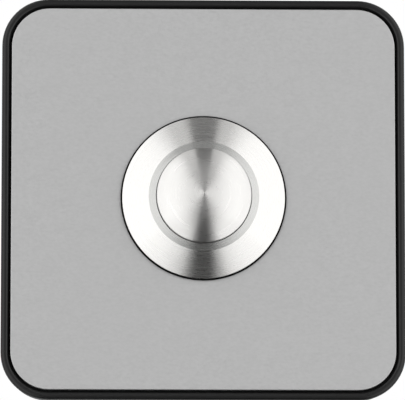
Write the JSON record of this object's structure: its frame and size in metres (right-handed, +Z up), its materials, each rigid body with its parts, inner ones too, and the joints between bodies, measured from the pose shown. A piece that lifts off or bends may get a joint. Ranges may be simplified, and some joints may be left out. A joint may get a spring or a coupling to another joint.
{
  "type": "doorbell push button",
  "caption": "Square wall-mounted bell push: a satin metal plate framed by a black moulded base, with a domed spring-return metal button in a conical bezel at its centre.",
  "frame": {"origin": "centre of the base's back face, on the wall", "axes": "+Y into the wall, front towards -Y, +Z up, +X to the right as seen from the front"},
  "size_m": [0.0602, 0.0257, 0.0602],
  "materials": {
    "base_plastic": "fine spark-eroded moulding texture",
    "seal_rubber": "matt",
    "plate_aluminium": "bead-blasted and anodised",
    "turned_stainless": "turned, circular grain",
    "nickel_brass": "nickel plated",
    "spring_steel": "bright",
    "plated_steel": "zinc plated",
    "plunger_plastic": "moulded",
    "switch_plastic": "moulded, glass filled",
    "contact_bronze": "rolled",
    "terminal_brass": "turned"
  },
  "bodies": {
    "housing": {"wall_base": "base_plastic", "wall_seal": "seal_rubber", "face_plate": "plate_aluminium", "retaining_clip": "spring_steel", "switch_body": "turned_stainless", "panel_gasket": "seal_rubber", "lock_washer": "spring_steel", "lock_nut": "nickel_brass", "return_spring": "spring_steel", "guide_cover": "switch_plastic", "switch_base": "switch_plastic", "base_circlip": "spring_steel", "terminal_left": "terminal_brass", "terminal_right": "terminal_brass", "terminal_screws": "plated_steel", "terminal_washers": "plated_steel"},
    "button": {"button_cap": "turned_stainless", "cap_seal": "seal_rubber", "plunger": "plunger_plastic", "contact_bridge": "contact_bronze"}
  },
  "joints": [
    {"name": "button_press", "type": "slide", "parent": "housing", "child": "button", "axis": [0, 1, 0], "range_m": [0, 0.0015], "stiffness_N_per_m": 700, "springref_m": -0.003, "deforming": ["return_spring"]}
  ]
}
